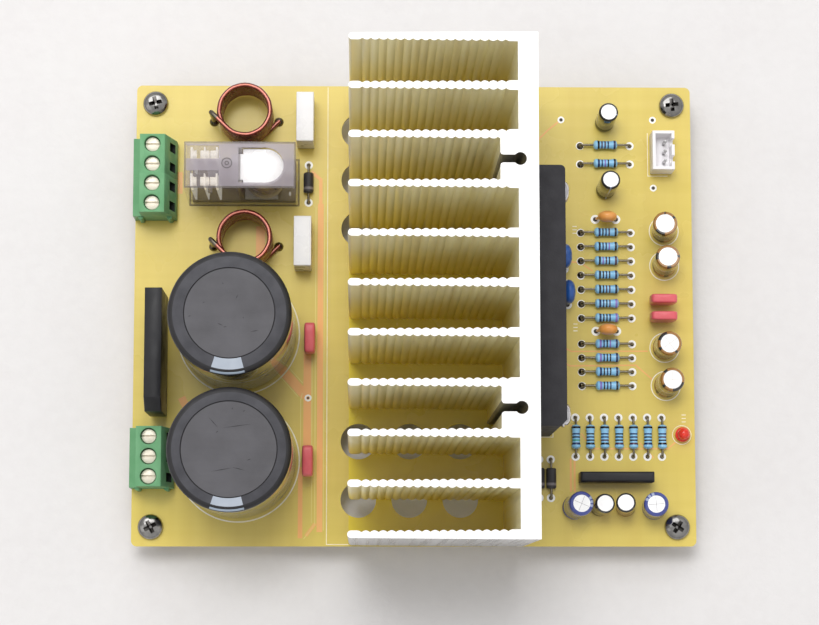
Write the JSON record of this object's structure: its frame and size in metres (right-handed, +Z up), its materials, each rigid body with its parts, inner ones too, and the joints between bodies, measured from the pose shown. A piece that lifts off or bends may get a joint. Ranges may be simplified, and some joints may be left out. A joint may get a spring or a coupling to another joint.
{
  "type": "audio amplifier board",
  "caption": "Audio power amplifier board with a finned heatsink, power module, filter capacitors, clear relay and green screw terminals, on hex standoffs.",
  "frame": {"origin": "on the table, under the middle of the board, between the feet of the four standoffs", "axes": "+Z up; +X across the fins, towards the power module and small parts; +Y along the heatsink, towards the relay's end"},
  "size_m": [0.146, 0.121, 0.0766],
  "materials": {
    "laminate": "glossy yellow laminate",
    "nickelled_brass": "nickel plated, satin",
    "screw_steel": "bright zinc plated",
    "extruded_aluminium": "natural, extruded, saw-cut ends",
    "black_moulding": "fine matt moulding",
    "tinned_metal": "tinned, bright",
    "clear_cover": "clear, slightly smoky",
    "bobbin_plastic": "smooth",
    "relay_copper": "enamelled copper wire",
    "relay_iron": "nickel plated",
    "contact_brass": "rolled strip",
    "green_terminal": "moulded, semi-gloss",
    "black_sleeve": "shrunk sleeve over a can",
    "red_enamelled_copper": "enamelled copper wire",
    "white_box": "moulded box",
    "red_dip": "dipped coating",
    "gold_sleeve": "shrunk sleeve",
    "brown_sleeve": "shrunk sleeve",
    "blue_sleeve": "shrunk sleeve",
    "light_blue_resistor": "lacquer",
    "orange_ceramic": "dipped disc",
    "blue_ceramic": "dipped disc",
    "red_lens": "coloured epoxy",
    "white_connector": "nylon"
  },
  "bodies": {
    "board": {"black_electrolytics": "black_sleeve", "blue_disc_capacitors": "blue_ceramic", "blue_electrolytics": "blue_sleeve", "board_screws": "screw_steel", "bridge_rectifier": "black_moulding", "brown_electrolytics": "brown_sleeve", "circuit_board": "laminate", "component_leads": "tinned_metal", "diode_bodies": "black_moulding", "filter_capacitor_1": "black_sleeve", "filter_capacitor_2": "black_sleeve", "gold_electrolytics": "gold_sleeve", "heatsink": "extruded_aluminium", "heatsink_screws": "screw_steel", "indicator_lamp": "red_lens", "module_case": "black_moulding", "module_pins": "tinned_metal", "module_plate": "extruded_aluminium", "module_screws": "screw_steel", "module_washers": "screw_steel", "orange_disc_capacitors": "orange_ceramic", "output_coil_1": "red_enamelled_copper", "output_coil_2": "red_enamelled_copper", "red_capacitors_left": "red_dip", "red_capacitors_right": "red_dip", "relay_base": "black_moulding", "relay_bobbin": "bobbin_plastic", "relay_cover": "clear_cover", "relay_fixed_contacts": "contact_brass", "relay_winding": "relay_copper", "relay_yoke": "relay_iron", "resistor_bodies": "light_blue_resistor", "row_circuit": "black_moulding", "signal_connector": "white_connector", "signal_pins": "tinned_metal", "speaker_terminal_1": "green_terminal", "speaker_terminal_2": "green_terminal", "standoffs": "nickelled_brass", "supply_terminal": "green_terminal", "terminal_pins": "tinned_metal", "white_capacitor_1": "white_box", "white_capacitor_2": "white_box"},
    "armature": {"relay_armature": "relay_iron", "relay_card": "bobbin_plastic"},
    "contact_springs": {"relay_moving_springs": "contact_brass"},
    "clamp_screw_1": {"clamp_screw_1": "screw_steel"},
    "clamp_cage_1": {"clamp_cage_1": "tinned_metal"},
    "clamp_screw_2": {"clamp_screw_2": "screw_steel"},
    "clamp_cage_2": {"clamp_cage_2": "tinned_metal"},
    "clamp_screw_3": {"clamp_screw_3": "screw_steel"},
    "clamp_cage_3": {"clamp_cage_3": "tinned_metal"},
    "clamp_screw_4": {"clamp_screw_4": "screw_steel"},
    "clamp_cage_4": {"clamp_cage_4": "tinned_metal"},
    "clamp_screw_5": {"clamp_screw_5": "screw_steel"},
    "clamp_cage_5": {"clamp_cage_5": "tinned_metal"},
    "clamp_screw_6": {"clamp_screw_6": "screw_steel"},
    "clamp_cage_6": {"clamp_cage_6": "tinned_metal"},
    "clamp_screw_7": {"clamp_screw_7": "screw_steel"},
    "clamp_cage_7": {"clamp_cage_7": "tinned_metal"}
  },
  "joints": [
    {"name": "clamp_screw_1_turn", "type": "hinge", "parent": "board", "child": "clamp_screw_1", "pos_m": [-0.0676, 0.04222, 0.0248], "axis": [0, 0, -1], "range_deg": [0, 1440.5]},
    {"name": "clamp_cage_1_rise", "type": "slide", "parent": "board", "child": "clamp_cage_1", "axis": [0, 0, 1], "range_m": [0, 0.002]},
    {"name": "clamp_screw_2_turn", "type": "hinge", "parent": "board", "child": "clamp_screw_2", "pos_m": [-0.0676, 0.03714, 0.0248], "axis": [0, 0, -1], "range_deg": [0, 1440.5]},
    {"name": "clamp_cage_2_rise", "type": "slide", "parent": "board", "child": "clamp_cage_2", "axis": [0, 0, 1], "range_m": [0, 0.002]},
    {"name": "clamp_screw_3_turn", "type": "hinge", "parent": "board", "child": "clamp_screw_3", "pos_m": [-0.0676, 0.03206, 0.0248], "axis": [0, 0, -1], "range_deg": [0, 1440.5]},
    {"name": "clamp_cage_3_rise", "type": "slide", "parent": "board", "child": "clamp_cage_3", "axis": [0, 0, 1], "range_m": [0, 0.002]},
    {"name": "clamp_screw_4_turn", "type": "hinge", "parent": "board", "child": "clamp_screw_4", "pos_m": [-0.0676, 0.02698, 0.0248], "axis": [0, 0, -1], "range_deg": [0, 1440.5]},
    {"name": "clamp_cage_4_rise", "type": "slide", "parent": "board", "child": "clamp_cage_4", "axis": [0, 0, 1], "range_m": [0, 0.002]},
    {"name": "clamp_screw_5_turn", "type": "hinge", "parent": "board", "child": "clamp_screw_5", "pos_m": [-0.0676, -0.03302, 0.0248], "axis": [0, 0, -1], "range_deg": [0, 1440.5]},
    {"name": "clamp_cage_5_rise", "type": "slide", "parent": "board", "child": "clamp_cage_5", "axis": [0, 0, 1], "range_m": [0, 0.002]},
    {"name": "clamp_screw_6_turn", "type": "hinge", "parent": "board", "child": "clamp_screw_6", "pos_m": [-0.0676, -0.0381, 0.0248], "axis": [0, 0, -1], "range_deg": [0, 1440.5]},
    {"name": "clamp_cage_6_rise", "type": "slide", "parent": "board", "child": "clamp_cage_6", "axis": [0, 0, 1], "range_m": [0, 0.002]},
    {"name": "clamp_screw_7_turn", "type": "hinge", "parent": "board", "child": "clamp_screw_7", "pos_m": [-0.0676, -0.04318, 0.0248], "axis": [0, 0, -1], "range_deg": [0, 1440.5]},
    {"name": "clamp_cage_7_rise", "type": "slide", "parent": "board", "child": "clamp_cage_7", "axis": [0, 0, 1], "range_m": [0, 0.002]},
    {"name": "armature_rock", "type": "hinge", "parent": "board", "child": "armature", "pos_m": [-0.0447, 0.0346, 0.0332], "axis": [0, 1, 0], "range_deg": [0, 3.5], "stiffness_Nm_per_rad": 0.001, "springref_deg": -5.73},
    {"name": "contact_springs_bend", "type": "hinge", "parent": "board", "child": "contact_springs", "pos_m": [-0.0536, 0.0346, 0.0149], "axis": [0, -1, 0], "range_deg": [0, 2.5]}
  ],
  "couplings": [
    {"joint": "clamp_screw_1_turn", "follows": "clamp_cage_1_rise", "rad_per_m": 12566},
    {"joint": "clamp_screw_2_turn", "follows": "clamp_cage_2_rise", "rad_per_m": 12566},
    {"joint": "clamp_screw_3_turn", "follows": "clamp_cage_3_rise", "rad_per_m": 12566},
    {"joint": "clamp_screw_4_turn", "follows": "clamp_cage_4_rise", "rad_per_m": 12566},
    {"joint": "clamp_screw_5_turn", "follows": "clamp_cage_5_rise", "rad_per_m": 12566},
    {"joint": "clamp_screw_6_turn", "follows": "clamp_cage_6_rise", "rad_per_m": 12566},
    {"joint": "clamp_screw_7_turn", "follows": "clamp_cage_7_rise", "rad_per_m": 12566},
    {"joint": "contact_springs_bend", "follows": "armature_rock", "ratio": 0.7086}
  ]
}
